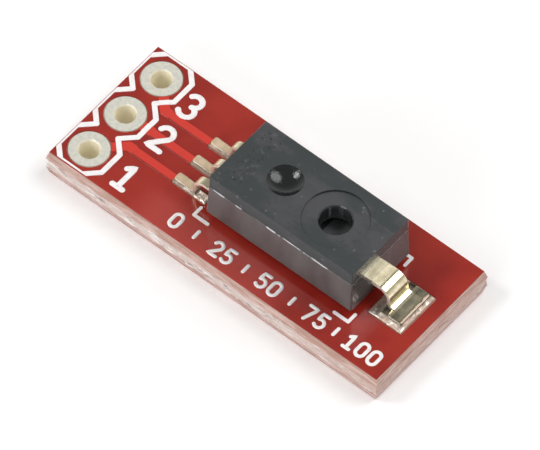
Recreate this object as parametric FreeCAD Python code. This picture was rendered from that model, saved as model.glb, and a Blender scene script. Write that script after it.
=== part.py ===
import FreeCAD, Part
import math
import os

from FreeCAD import Vector

# Humidity sensor breakout board: a small V-scored printed board with three
# plated header holes at one end and a surface-mounted sensor. X runs along the
# board from the header end to the wide lead, Z is up, and the origin is the
# middle of the board's underside. All sizes are in millimetres.

# Board laminate
board_length = 19.05
laminate_thickness = 1.5
score_depth = 0.5
score_half_angle = 15.0

# Layers on the laminate
foil_thickness = 0.05
mask_thickness = 0.05
mask_over_foil = 0.03
mask_overhang = 0.04
mask_setback = 0.04
ink_thickness = 0.03
outline_line = 0.25
mark_line = 0.16

# Header holes
hole_count = 3
hole_pitch = 2.54
hole_end_distance = 1.27
hole_side_distance = 1.27
hole_radius = 0.508
plating_wall = 0.05
plating_lip = 0.05
land_radius = 0.96
land_gap = 0.06

# Printed outline round each header hole
outline_half = 1.27
outline_corner = 0.635

# Foil tracks
track_width = 0.4064
track_pitch = 1.27

# Sensor footprint, set from the far end of the board
footprint_end_distance = 7.275
narrow_pad_distance = 5.55
wide_pad_distance = 5.63
narrow_pad_length = 1.91
narrow_pad_width = 0.47
wide_pad_length = 1.86
wide_pad_width = 2.48
pad_corner = 0.06
pad_mask_gap = 0.05

# Printed corner marks of the sensor
mark_shift_x = -0.11
mark_half_length = 4.48
mark_half_width = 2.25
mark_arm_long = 0.8
mark_arm_short = 0.5

# Sensor body
sensor_shift_x = 0.095
sensor_shift_y = 0.085
standoff = 0.5
body_length = 8.43
body_width = 4.16
body_corner = 0.08
base_height = 1.88
base_draft = 0.07
cover_height = 0.74
cover_draft = 0.01
cover_edge = 0.02
seal_thickness = 0.03
seal_inset = 0.03

# Cavity in the sensor base, and the cover's lip that drops into it
end_wall = 0.7
side_wall = 0.6
cavity_corner = 0.4
sharpest_corner = 0.05
lip_clearance = 0.05
lip_wall = 0.2
lip_depth = 0.2

# Window, shallow ring and blind dish in the cover
window_x = 1.645
window_y = -0.115
window_radius = 0.76
window_edge = 0.06
window_boss_wall = 0.4
window_boss_depth = 0.22
ring_radius = 1.58
ring_depth = 0.05
dish_x = -1.415
dish_y = 0.065
dish_radius = 0.87
dish_depth = 0.32

# Lead frame
lead_thickness = 0.2
lead_level = 0.52
lead_kick_angle = 35.0
lead_kick_radius = 0.2
lead_crown_radius = 0.55
lead_heel_radius = 0.2
lead_leg_lean = 7.0
lead_pitch = 1.27
narrow_lead_width = 0.44
narrow_exit_run = 0.19
narrow_foot_run = 0.97
wide_neck_width = 1.3
wide_foot_width = 2.1
wide_exit_run = 0.01
wide_foot_run = 0.82
foot_corner = 0.1
solder_film = 0.03
solder_rise = 0.12
solder_toe = 0.03
solder_reach = 0.16

# Inside the sensor
finger_end_x = -0.35
finger_width = 0.6
paddle_gap = 0.35
paddle_width = 2.3
paddle_end_x = 3.2
attach_thickness = 0.04
attach_margin = 0.08
die_length = 2.4
die_width = 2.0
die_thickness = 0.52
film_length = 1.7
film_width = 1.7
film_shift = 0.17
film_thickness = 0.03
wire_diameter = 0.05
wire_rise = 0.2
wire_bend = 0.06
wire_stitch = 0.15
wire_pad_inset = 0.12
wire_pad_pitch = 0.6

# Levels and places worked out from the sizes above
board_width = (hole_count - 1) * hole_pitch + 2 * hole_side_distance
laminate_bottom = mask_thickness
laminate_top = laminate_bottom + laminate_thickness
board_top = laminate_top + mask_thickness
foil_top = laminate_top + foil_thickness
relief_top = foil_top + mask_over_foil
foot_bottom = foil_top + solder_film
base_bottom = board_top + standoff
seam_level = base_bottom + base_height
cover_bottom = seam_level + seal_thickness
cover_top = cover_bottom + cover_height
lead_centre = base_bottom + lead_level
lead_top = lead_centre + lead_thickness / 2
hole_x = -board_length / 2 + hole_end_distance
footprint_x = board_length / 2 - footprint_end_distance
sensor_x = footprint_x + sensor_shift_x
mark_centre_x = footprint_x + mark_shift_x
cavity_length = body_length - 2 * end_wall
cavity_width = body_width - 2 * side_wall
die_top = lead_top + attach_thickness + die_thickness

# How far the middle of a quarter arc lies inside its corner, per unit radius
ARC_INSET = 1 - math.sqrt(0.5)

# Heights closer than this count as the same level
SAME_LEVEL = 1e-6

# How a swept wire turns a corner
MITRED = 1

NET_NAMES = ("supply", "output", "ground")

os.makedirs("parts", exist_ok=True)


def net_offsets(pitch):
    """The places across the board of the three nets, for a given pitch."""
    return [(i - (hole_count - 1) / 2) * pitch for i in range(hole_count)]


def save(shape, name):
    """Write one piece to its own file."""
    shape.exportStep("parts/" + name + ".step")


def slab(x0, x1, y0, y1, z0, z1):
    """A rectangular block between two corners."""
    return Part.makeBox(x1 - x0, y1 - y0, z1 - z0, Vector(x0, y0, z0))


def disc(x, y, radius, z0, z1):
    """A round block standing on z0."""
    return Part.makeCylinder(radius, z1 - z0, Vector(x, y, z0))


def rounded_wire(length, width, radius, z, x=0.0, y=0.0):
    """A rectangle with round corners, in a level plane."""
    a = length / 2
    b = width / 2
    k = radius * ARC_INSET
    corners = [(1, -1), (1, 1), (-1, 1), (-1, -1)]
    arcs = []
    for i, (sx, sy) in enumerate(corners):
        start = Vector(x + sx * (a - radius), y + sy * b, z)
        end = Vector(x + sx * a, y + sy * (b - radius), z)
        if i % 2:
            start, end = end, start
        middle = Vector(x + sx * (a - k), y + sy * (b - k), z)
        arcs.append(Part.Arc(start, middle, end))
    edges = []
    for i, arc in enumerate(arcs):
        following = arcs[(i + 1) % len(arcs)]
        edges.append(arc.toShape())
        edges.append(Part.LineSegment(arc.EndPoint, following.StartPoint).toShape())
    return Part.Wire(edges)


def rounded_slab(length, width, radius, z0, z1, x=0.0, y=0.0):
    """An upright block with round corners in plan."""
    face = Part.Face(rounded_wire(length, width, radius, z0, x, y))
    return face.extrude(Vector(0, 0, z1 - z0))


def tapered_block(length, width, radius, inset, z0, z1):
    """A round-cornered block that narrows by an inset on each side."""
    low = rounded_wire(length, width, radius, z0)
    high = rounded_wire(length - 2 * inset, width - 2 * inset, radius, z1)
    return Part.makeLoft([low, high], True, True)


def capsule(x0, y0, x1, y1, width, z0, z1):
    """One drawn stroke: a flat bar with round ends."""
    along = Vector(x1 - x0, y1 - y0, 0)
    along.normalize()
    half = width / 2
    side = Vector(-along.y, along.x, 0) * half
    a = Vector(x0, y0, z0)
    b = Vector(x1, y1, z0)
    edges = [
        Part.LineSegment(a - side, b - side).toShape(),
        Part.Arc(b - side, b + along * half, b + side).toShape(),
        Part.LineSegment(b + side, a + side).toShape(),
        Part.Arc(a + side, a - along * half, a - side).toShape(),
    ]
    return Part.Face(Part.Wire(edges)).extrude(Vector(0, 0, z1 - z0))


def stroke(points, width, z0, z1):
    """A drawn line through several points."""
    bars = []
    for (x0, y0), (x1, y1) in zip(points, points[1:]):
        bars.append(capsule(x0, y0, x1, y1, width, z0, z1))
    return join(bars)


def join(shapes):
    """Fuse several solids and clean the seams."""
    first = shapes[0]
    if len(shapes) == 1:
        return first
    return first.fuse(shapes[1:]).removeSplitter()


def place_sensor(shape):
    """Move a piece from the sensor's own frame to its place on the board."""
    moved = shape.copy()
    moved.translate(Vector(sensor_x, sensor_shift_y, 0))
    return moved


def score_flare():
    """How far the broken web stands out beyond the scored edge."""
    return score_depth * math.tan(math.radians(score_half_angle))


def prism_between(z0, z1, grow0, grow1):
    """A slice of the laminate whose outline grows or shrinks with height."""
    outlines = []
    for z, grow in ((z0, grow0), (z1, grow1)):
        a = board_length / 2 + grow
        b = board_width / 2 + grow
        corners = [Vector(-a, -b, z), Vector(a, -b, z), Vector(a, b, z), Vector(-a, b, z)]
        outlines.append(Part.makePolygon(corners + corners[:1]))
    return Part.makeLoft(outlines, True, True)


def board_core():
    """The laminate, scored from both faces and snapped along the web."""
    flare = score_flare()
    web_low = score_depth
    web_high = laminate_top + mask_thickness - score_depth
    skin_flare = mask_thickness * math.tan(math.radians(score_half_angle))
    lower = prism_between(laminate_bottom, web_low, skin_flare, flare)
    web = prism_between(web_low, web_high, flare, flare)
    upper = prism_between(web_high, laminate_top, flare, skin_flare)
    core = join([lower, web, upper])
    for y in net_offsets(hole_pitch):
        core = core.cut(disc(hole_x, y, hole_radius + plating_wall, 0, board_top))
    return core


def plated_hole(y):
    """The hole's plated wall with its land on each face, and bevelled mouths."""
    inner = hole_radius
    wall = hole_radius + plating_wall
    lip = plating_lip
    profile = [
        (inner, lip), (inner + lip, 0), (land_radius, 0), (land_radius, foil_thickness),
        (wall, foil_thickness), (wall, laminate_top), (land_radius, laminate_top),
        (land_radius, foil_top), (inner + lip, foil_top), (inner, foil_top - lip),
    ]
    points = [Vector(r, 0, z) for r, z in profile]
    face = Part.Face(Part.makePolygon(points + points[:1]))
    shape = face.revolve(Vector(0, 0, 0), Vector(0, 0, 1), 360)
    shape.translate(Vector(hole_x, y, 0))
    return shape


def narrow_pad_centre():
    """Where the row of three narrow pads lies along the board."""
    return footprint_x - narrow_pad_distance


def wide_pad_centre():
    """Where the wide pad lies along the board."""
    return footprint_x + wide_pad_distance


def track_path(hole_y, track_y):
    """A track leaves its hole at 45 degrees and then runs to its pad."""
    bend_x = hole_x + abs(hole_y - track_y)
    end = (narrow_pad_centre(), track_y)
    if bend_x == hole_x:
        return [(hole_x, hole_y), end]
    return [(hole_x, hole_y), (bend_x, track_y), end]


def narrow_pad(y, grow, z0, z1):
    """One of the three narrow pads, or the mask opening over it."""
    length = narrow_pad_length + 2 * grow
    width = narrow_pad_width + 2 * grow
    return rounded_slab(length, width, pad_corner + grow, z0, z1, narrow_pad_centre(), y)


def wide_pad(grow, z0, z1):
    """The pad of the wide lead, or the mask opening over it."""
    length = wide_pad_length + 2 * grow
    width = wide_pad_width + 2 * grow
    return rounded_slab(length, width, pad_corner + grow, z0, z1, wide_pad_centre(), 0)


def copper_track(hole_y, track_y):
    """Etched foil of one net: its track and its sensor pad."""
    track = stroke(track_path(hole_y, track_y), track_width, laminate_top, foil_top)
    pad = narrow_pad(track_y, 0, laminate_top, foil_top)
    land = disc(hole_x, hole_y, land_radius, laminate_top, foil_top)
    return join([track, pad]).cut(land)


def track_relief(grow, z0, z1):
    """The bars over the tracks where the mask and the ink stand higher."""
    bars = []
    for hole_y, track_y in zip(net_offsets(hole_pitch), net_offsets(track_pitch)):
        path = track_path(hole_y, track_y)
        bars.append(stroke(path, track_width + 2 * grow, z0, z1))
    return bars


def solder_mask_top(copper):
    """The top coating, raised over the tracks and open at lands and pads."""
    a = board_length / 2
    b = board_width / 2
    mask = slab(-a, a, -b, b, laminate_top, board_top)
    mask = join([mask] + track_relief(mask_overhang, laminate_top, relief_top))
    openings = []
    for y in net_offsets(hole_pitch):
        openings.append(disc(hole_x, y, land_radius + land_gap, laminate_top, relief_top))
    for y in net_offsets(track_pitch):
        openings.append(narrow_pad(y, pad_mask_gap, laminate_top, relief_top))
    openings.append(wide_pad(pad_mask_gap, laminate_top, relief_top))
    return mask.cut(openings).cut(copper)


def solder_mask_bottom():
    """The underside's coating, with openings round the three lands."""
    a = board_length / 2
    b = board_width / 2
    mask = slab(-a, a, -b, b, 0, laminate_bottom)
    openings = []
    for y in net_offsets(hole_pitch):
        openings.append(disc(hole_x, y, land_radius + land_gap, 0, laminate_bottom))
    return mask.cut(openings)


def inked(strokes, mask):
    """Ink of even thickness, which climbs over the raised tracks."""
    a = board_length / 2 - mask_setback
    b = board_width / 2 - mask_setback
    limit = slab(-a, a, -b, b, board_top, relief_top + ink_thickness)
    drawing = join(strokes).common(limit)
    flat = drawing.common(slab(-a, a, -b, b, board_top, board_top + ink_thickness))
    tall = track_relief(mask_overhang, board_top, relief_top + ink_thickness)
    over_tracks = drawing.common(tall)
    return join([flat, over_tracks]).cut(mask)


def header_outline_strokes():
    """A chain of octagons round the header holes, open where they meet."""
    h = outline_half
    c = outline_corner
    z0 = board_top
    z1 = relief_top + ink_thickness
    rows = net_offsets(hole_pitch)
    bars = []
    for y in rows:
        for side in (-1, 1):
            points = [
                (hole_x + side * c, y - h), (hole_x + side * h, y - c),
                (hole_x + side * h, y + c), (hole_x + side * c, y + h),
            ]
            bars.append(stroke(points, outline_line, z0, z1))
    for y in (rows[0] - h, rows[-1] + h):
        bars.append(capsule(hole_x - c, y, hole_x + c, y, outline_line, z0, z1))
    return bars


def corner_mark_strokes():
    """Four L-shaped marks at the corners of the sensor's place."""
    z0 = board_top
    z1 = relief_top + ink_thickness
    bars = []
    for sx in (-1, 1):
        for sy in (-1, 1):
            x = mark_centre_x + sx * mark_half_length
            y = sy * mark_half_width
            points = [(x - sx * mark_arm_long, y), (x, y), (x, y - sy * mark_arm_short)]
            bars.append(stroke(points, mark_line, z0, z1))
    return bars


def bent_strip(x, z, heading, steps, thickness):
    """The side view of a bent strip as a face in the XZ plane.

    Each step is a straight run (length,) or a turn (degrees, radius) on the
    middle of the strip; a positive turn is anticlockwise in the XZ view.
    """
    half = thickness / 2
    angle = math.radians(heading)
    here = Vector(x, 0, z)
    left_edges = []
    right_edges = []
    for step in steps:
        ahead = Vector(math.cos(angle), 0, math.sin(angle))
        left = Vector(-ahead.z, 0, ahead.x)
        if len(step) == 1:
            there = here + ahead * step[0]
            new_left = left
            left_edges.append(Part.LineSegment(here + left * half, there + left * half))
            right_edges.append(Part.LineSegment(here - left * half, there - left * half))
        else:
            turn = math.radians(step[0])
            sign = 1 if turn > 0 else -1
            radius = step[1]
            centre = here + left * (sign * radius)
            arms = []
            for part in (0.0, 0.5, 1.0):
                swing = angle + turn * part
                arms.append(Vector(math.sin(swing), 0, -math.cos(swing)) * sign)
            rims = []
            for offset in (radius - sign * half, radius + sign * half):
                rims.append([centre + arm * offset for arm in arms])
            left_edges.append(Part.Arc(*rims[0]))
            right_edges.append(Part.Arc(*rims[1]))
            angle += turn
            there = centre + arms[2] * radius
            new_left = Vector(-math.sin(angle), 0, math.cos(angle))
        here = there
        last_left = new_left
    start_left = left_edges[0].StartPoint
    start_right = right_edges[0].StartPoint
    edges = [edge.toShape() for edge in left_edges]
    edges.append(Part.LineSegment(here + last_left * half, here - last_left * half).toShape())
    edges += [edge.toShape() for edge in reversed(right_edges)]
    edges.append(Part.LineSegment(start_right, start_left).toShape())
    return Part.Face(Part.Wire(Part.__sortEdges__(edges)))


def lead_drop():
    """The straight leg between the crown and the heel of a lead."""
    kick = math.radians(lead_kick_angle)
    lean = math.radians(lead_leg_lean)
    rise = (lead_kick_radius + lead_crown_radius) * (1 - math.cos(kick))
    fall = lead_centre + rise - (foot_bottom + lead_thickness / 2)
    bends = (lead_crown_radius + lead_heel_radius) * (1 - math.sin(lean))
    return (fall - bends) / math.cos(lean)


def lead_side_view(inner_run, exit_run, foot_run):
    """The whole bent form of a lead that leaves the body towards +X."""
    steps = [
        (inner_run + exit_run,),
        (lead_kick_angle, lead_kick_radius),
        (lead_leg_lean - 90 - lead_kick_angle, lead_crown_radius),
        (lead_drop(),),
        (90 - lead_leg_lean, lead_heel_radius),
        (foot_run,),
    ]
    return bent_strip(-inner_run, lead_centre, 0, steps, lead_thickness)


def lead_exit(half_length):
    """Where the middle of a lead crosses the sloping end face."""
    slope = base_draft / base_height
    return half_length - slope * lead_level


def foot_end(exit_run, foot_run):
    """How far the tip of a foot lies from the body's end face."""
    kick = math.radians(lead_kick_angle)
    lean = math.radians(lead_leg_lean)
    up = (lead_kick_radius + lead_crown_radius) * math.sin(kick)
    down = (lead_crown_radius + lead_heel_radius) * math.cos(lean)
    return exit_run + up + down + lead_drop() * math.sin(lean) + foot_run


def narrow_lead(y):
    """A bond finger, the way out through the wall, the arch and the foot."""
    exit_x = lead_exit(body_length / 2)
    inner_run = exit_x + finger_end_x
    side = lead_side_view(inner_run, narrow_exit_run, narrow_foot_run)
    bar = side.extrude(Vector(0, narrow_lead_width, 0))
    bar.translate(Vector(exit_x, -narrow_lead_width / 2, 0))
    tip = exit_x + foot_end(narrow_exit_run, narrow_foot_run)
    bar = round_foot(bar, tip, narrow_lead_width)
    finger_length = cavity_length / 2 + finger_end_x
    finger = slab(
        -finger_end_x, -finger_end_x + finger_length, -finger_width / 2, finger_width / 2,
        lead_centre - lead_thickness / 2, lead_top)
    lead = join([bar, finger])
    lead = lead.mirror(Vector(0, 0, 0), Vector(1, 0, 0))
    lead.translate(Vector(0, y, 0))
    return lead


def round_foot(bar, tip, width):
    """Round the two corners at the tip of a foot, seen from above.

    The block that is kept reaches far enough back to round only the tip.
    """
    top = foot_bottom + lead_thickness
    reach = 2 * foot_corner
    block = slab(tip - reach, tip, -width / 2, width / 2, foot_bottom, top)
    keep = rounded_slab(2 * reach, width, foot_corner, foot_bottom, top, tip - reach)
    return bar.cut(block.cut(keep))


def wide_lead():
    """The broad lead: the die paddle, the neck, the arch and a wider foot."""
    exit_x = lead_exit(body_length / 2)
    inner_run = exit_x - paddle_end_x
    side = lead_side_view(inner_run, wide_exit_run, wide_foot_run)
    neck = side.extrude(Vector(0, wide_neck_width, 0))
    neck.translate(Vector(exit_x, -wide_neck_width / 2, 0))
    tip = exit_x + foot_end(wide_exit_run, wide_foot_run)
    heel = tip - wide_foot_run
    foot = rounded_slab(
        wide_foot_run, wide_foot_width, foot_corner, foot_bottom,
        foot_bottom + lead_thickness, (heel + tip) / 2, 0)
    neck_tip = slab(
        heel, tip, -wide_neck_width / 2, wide_neck_width / 2, foot_bottom,
        foot_bottom + lead_thickness)
    paddle_start = finger_end_x + paddle_gap
    paddle = slab(
        paddle_start, paddle_end_x, -paddle_width / 2, paddle_width / 2,
        lead_centre - lead_thickness / 2, lead_top)
    return join([neck.cut(neck_tip), foot, paddle, neck_tip.common(foot)])


def cavity_block(clearance, z0, z1):
    """The open space in the base, or a block that fits inside it."""
    radius = max(cavity_corner - clearance, sharpest_corner)
    return rounded_slab(
        cavity_length - 2 * clearance, cavity_width - 2 * clearance, radius, z0, z1)


def sensor_base(leads):
    """The moulded tray that holds the lead frame, open at the top."""
    body = tapered_block(
        body_length, body_width, body_corner, base_draft, base_bottom, seam_level)
    body = body.cut(cavity_block(0, lead_top, seam_level))
    return body.cut(leads)


def cover_seal():
    """The thin bonded joint on the rim of the tray."""
    length = body_length - 2 * (base_draft + seal_inset)
    width = body_width - 2 * (base_draft + seal_inset)
    rim = rounded_slab(length, width, body_corner, seam_level, cover_bottom)
    return rim.cut(cavity_block(0, seam_level, cover_bottom))


def dish_cutter():
    """The ball that sinks the blind dish into the cover's top."""
    radius = (dish_radius ** 2 + dish_depth ** 2) / (2 * dish_depth)
    centre = Vector(dish_x, dish_y, cover_top - dish_depth + radius)
    return Part.makeSphere(radius, centre)


def level_edges(shape, z):
    """The edges of a shape that lie wholly in one level plane."""
    found = []
    for edge in shape.Edges:
        box = edge.BoundBox
        if abs(box.ZMin - z) < SAME_LEVEL and abs(box.ZMax - z) < SAME_LEVEL:
            found.append(edge)
    return found


def lid_block():
    """The lid's outer form, with drafted sides and a bevelled top edge."""
    length = body_length - 2 * base_draft
    width = body_width - 2 * base_draft
    levels = [
        (0, cover_bottom),
        (cover_draft, cover_top - cover_edge),
        (cover_draft + cover_edge, cover_top),
    ]
    outlines = []
    for inset, z in levels:
        outlines.append(
            rounded_wire(length - 2 * inset, width - 2 * inset, body_corner, z))
    return Part.makeLoft(outlines, True, True)


def sensor_cover():
    """The lid: window, shallow ring, blind dish, boss and locating lip."""
    lid = lid_block()
    lip_bottom = cover_bottom - seal_thickness - lip_depth
    lip = cavity_block(lip_clearance, lip_bottom, cover_bottom)
    lip = lip.cut(cavity_block(lip_clearance + lip_wall, lip_bottom, cover_bottom))
    boss_bottom = cover_bottom - seal_thickness - window_boss_depth
    boss = disc(window_x, window_y, window_radius + window_boss_wall, boss_bottom, cover_bottom)
    lid = join([lid, lip, boss])
    lid = lid.cut(disc(window_x, window_y, ring_radius, cover_top - ring_depth, cover_top))
    lid = lid.cut(disc(window_x, window_y, window_radius, boss_bottom, cover_top))
    rim = []
    for edge in level_edges(lid, cover_top - ring_depth):
        box = edge.BoundBox
        if box.XLength < 2 * window_radius + window_edge:
            rim.append(edge)
    lid = lid.makeChamfer(window_edge, rim)
    return lid.cut(dish_cutter())


def die_stack():
    """The chip on its paddle: the adhesive, the silicon and the sensing film."""
    x = window_x
    margin = attach_margin
    attach_top = lead_top + attach_thickness
    attach = slab(
        x - die_length / 2 - margin, x + die_length / 2 + margin,
        -die_width / 2 - margin, die_width / 2 + margin, lead_top, attach_top)
    die = slab(
        x - die_length / 2, x + die_length / 2, -die_width / 2, die_width / 2,
        attach_top, die_top)
    film_x = x + film_shift
    film = slab(
        film_x - film_length / 2, film_x + film_length / 2, -film_width / 2,
        film_width / 2, die_top, die_top + film_thickness)
    return attach, die, film


def bond_wire(y_finger, y_die):
    """One wire that rises from the chip, slopes down and lies on its finger."""
    start = Vector(window_x - die_length / 2 + wire_pad_inset, y_die, die_top)
    rise = start + Vector(0, 0, wire_rise)
    knee = rise + Vector(-wire_bend, 0, wire_bend)
    landing = Vector(finger_end_x - wire_pad_inset, y_finger, lead_top + wire_diameter / 2)
    end = landing - Vector(wire_stitch, 0, 0)
    path = Part.makePolygon([start, rise, knee, landing, end])
    ring = Part.Wire([Part.Circle(start, Vector(0, 0, 1), wire_diameter / 2).toShape()])
    return path.makePipeShell([ring], True, False, MITRED)


def solder_joint(pad, foot, lead):
    """The film on a pad, with a fillet that rises to the sides of the foot.

    The pad and the foot are each (middle x, middle y, length, width).
    """
    pad_x, pad_y, pad_length, pad_width = pad
    foot_x, foot_y, foot_length, foot_width = foot
    film = rounded_slab(
        pad_length, pad_width, pad_corner, foil_top, foot_bottom, pad_x, pad_y)
    skirts = []
    for grow, z in ((solder_reach, foil_top), (solder_toe, foot_bottom + solder_rise)):
        skirts.append(rounded_wire(
            foot_length + 2 * grow, foot_width + 2 * grow, pad_corner, z, foot_x, foot_y))
    fillet = Part.makeLoft(skirts, True, True)
    column = rounded_slab(
        pad_length, pad_width, pad_corner, foil_top, foot_bottom + solder_rise,
        pad_x, pad_y)
    return join([film, fillet.common(column)]).cut(lead)


def narrow_solder(y, lead):
    """The joint of one narrow lead."""
    exit_x = lead_exit(body_length / 2)
    tip = exit_x + foot_end(narrow_exit_run, narrow_foot_run)
    length = narrow_foot_run + lead_heel_radius
    pad = (narrow_pad_centre(), y, narrow_pad_length, narrow_pad_width)
    foot = (sensor_x - tip + length / 2, y + sensor_shift_y, length, narrow_lead_width)
    return solder_joint(pad, foot, lead)


def wide_solder(lead):
    """The joint of the wide lead."""
    exit_x = lead_exit(body_length / 2)
    tip = exit_x + foot_end(wide_exit_run, wide_foot_run)
    pad = (wide_pad_centre(), 0, wide_pad_length, wide_pad_width)
    middle = sensor_x + tip - wide_foot_run / 2
    foot = (middle, sensor_shift_y, wide_foot_run, wide_foot_width)
    return solder_joint(pad, foot, lead)


def build():
    """Make every piece in its place and write it out."""
    holes = net_offsets(hole_pitch)
    tracks = net_offsets(track_pitch)
    leads_y = net_offsets(lead_pitch)

    save(board_core(), "printed_board_core")
    copper = []
    for name, hole_y, track_y in zip(NET_NAMES, holes, tracks):
        save(plated_hole(hole_y), "plated_hole_" + name)
        foil = copper_track(hole_y, track_y)
        save(foil, "copper_track_" + name)
        copper.append(foil)
    save(wide_pad(0, laminate_top, foil_top), "copper_pad_wide")

    mask = solder_mask_top(copper)
    save(mask, "solder_mask_top")
    save(solder_mask_bottom(), "solder_mask_bottom")
    save(inked(header_outline_strokes(), mask), "printed_header_outline")
    save(inked(corner_mark_strokes(), mask), "printed_corner_marks")

    wide = wide_lead()
    narrow = [narrow_lead(y) for y in leads_y]
    save(place_sensor(sensor_base(narrow + [wide])), "sensor_base")
    save(place_sensor(cover_seal()), "cover_seal")
    save(place_sensor(sensor_cover()), "sensor_cover")

    for name, track_y, lead in zip(NET_NAMES, tracks, narrow):
        placed = place_sensor(lead)
        save(placed, "lead_" + name)
        save(narrow_solder(track_y, placed), "solder_" + name)
    placed = place_sensor(wide)
    save(placed, "lead_wide")
    save(wide_solder(placed), "solder_wide")

    attach, die, film = die_stack()
    save(place_sensor(attach), "die_adhesive")
    save(place_sensor(die), "sensing_die")
    save(place_sensor(film), "sensing_film")
    dies_y = net_offsets(wire_pad_pitch)
    wires = [bond_wire(a, b) for a, b in zip(leads_y, dies_y)]
    save(place_sensor(Part.Compound(wires)), "bond_wires")


build()
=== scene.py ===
"""Looks of a humidity sensor breakout board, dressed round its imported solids.

Every length in this file is in millimetres until a mesh is finished, when it is
scaled to metres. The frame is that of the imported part: the origin is the middle of
the board's underside, X runs from the header holes to the wide lead and Z is up.
"""

import logging
import math
from dataclasses import dataclass, field
from enum import Enum
from typing import Sequence

import bmesh
import bpy
from mathutils import Matrix, Vector, noise
from mathutils.bvhtree import BVHTree


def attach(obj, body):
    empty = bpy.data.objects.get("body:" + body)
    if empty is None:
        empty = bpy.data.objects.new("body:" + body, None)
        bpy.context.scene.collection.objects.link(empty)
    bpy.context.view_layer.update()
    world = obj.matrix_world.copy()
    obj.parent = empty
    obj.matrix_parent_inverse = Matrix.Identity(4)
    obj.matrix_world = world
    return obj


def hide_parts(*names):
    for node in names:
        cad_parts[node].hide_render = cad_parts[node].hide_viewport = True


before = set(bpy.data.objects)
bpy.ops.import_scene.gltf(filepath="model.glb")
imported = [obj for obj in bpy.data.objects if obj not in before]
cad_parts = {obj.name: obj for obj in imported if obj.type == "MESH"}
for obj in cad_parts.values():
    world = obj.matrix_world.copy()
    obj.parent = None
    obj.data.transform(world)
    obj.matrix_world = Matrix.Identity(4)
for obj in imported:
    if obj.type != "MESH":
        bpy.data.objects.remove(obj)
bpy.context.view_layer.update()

Point = tuple[float, float]
Span = tuple[float, float]
Triple = tuple[float, float, float]
Colour = Triple
Rect = tuple[float, float, float, float]
Face = bmesh.types.BMFace
Material = bpy.types.Material

MM = 0.001
NETS = ("supply", "output", "ground")
BODY_MIDDLE: Point = (2.345, 0.085)
EVEN: Triple = (1.0, 1.0, 1.0)
WHITE: Colour = (1.0, 1.0, 1.0)
SHEARED = "sheared"
FLUX_AND_SHADE = "flux_and_shade"
SMOOTH = {"interpolation_type": "SMOOTHSTEP"}
PLAY = 0.001
MERGED = 1e-4
FLAT = math.radians(0.5)
ALIGNED = 0.9
LOG = logging.getLogger("board")


class Axis(Enum):
    """The axes of the part's frame."""

    X = 0
    Y = 1
    Z = 2


# Shader maths


class Wire:
    """A shader socket that sums and products can be written on."""

    def __init__(self, nodes: "Nodes", socket: bpy.types.NodeSocket) -> None:
        """Keep the socket and the nodes that it belongs to."""
        self.nodes = nodes
        self.socket = socket

    def _math(self, operation: str, *values: "Wire | float") -> "Wire":
        """What a Math node makes of some values."""
        sockets = dict(enumerate(values))
        return self.nodes.node("ShaderNodeMath", {"operation": operation}, sockets)

    def __add__(self, other: "Wire | float") -> "Wire":
        """The sum."""
        return self._math("ADD", self, other)

    __radd__ = __add__

    def __mul__(self, other: "Wire | float") -> "Wire":
        """The product."""
        return self._math("MULTIPLY", self, other)

    __rmul__ = __mul__

    def __sub__(self, other: "Wire | float") -> "Wire":
        """The difference."""
        return self._math("SUBTRACT", self, other)

    def __rsub__(self, other: "Wire | float") -> "Wire":
        """The difference, the other way round."""
        return self._math("SUBTRACT", other, self)

    def __abs__(self) -> "Wire":
        """The size without its sign."""
        return self._math("ABSOLUTE", self)

    def root(self) -> "Wire":
        """The square root."""
        return self._math("SQRT", self)

    def joined(self, other: "Wire") -> "Wire":
        """Two shares joined, so that either is enough."""
        return self + other - self * other

    def between(self, low: float, high: float) -> "Wire":
        """Rise smoothly from nought at the low value to one at the high one."""
        sockets = {"Value": self, "From Min": low, "From Max": high}
        return self.nodes.node("ShaderNodeMapRange", SMOOTH, sockets)

    def within(self, low: float, high: float, soft: float) -> "Wire":
        """One inside a range and nought outside it, with ends so soft."""
        half = soft / 2
        return self.between(low - half, low + half) \
            * (1.0 - self.between(high - half, high + half))


class Nodes:
    """A node tree, with the one method that makes its nodes."""

    def __init__(self, tree: bpy.types.NodeTree) -> None:
        """Keep the tree."""
        self.tree = tree

    def node(self, kind: str, settings: dict | None = None,
             sockets: dict | None = None, output: int | str = 0) -> Wire:
        """Add one node.

        Args:
            kind: The node's type.
            settings: Its properties, which are set first.
            sockets: Values or links, by socket name, identifier or number.
            output: Which of its outputs is wanted.

        Returns:
            That output.
        """
        made = self.tree.nodes.new(kind)
        for key, value in (settings or {}).items():
            setattr(made, key, value)
        by_identifier = {socket.identifier: socket for socket in made.inputs}
        for key, value in (sockets or {}).items():
            self.feed(by_identifier.get(key) or made.inputs[key], value)
        return Wire(self, made.outputs[output])

    def feed(self, socket: bpy.types.NodeSocket, value: Wire | Colour | float) -> None:
        """Link a socket or set its value.

        Args:
            socket: The socket.
            value: What it gets.
        """
        if isinstance(value, Wire):
            self.tree.links.new(value.socket, socket)
        elif isinstance(value, tuple) and socket.type == "RGBA":
            socket.default_value = (*value, 1.0)
        else:
            socket.default_value = value


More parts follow.
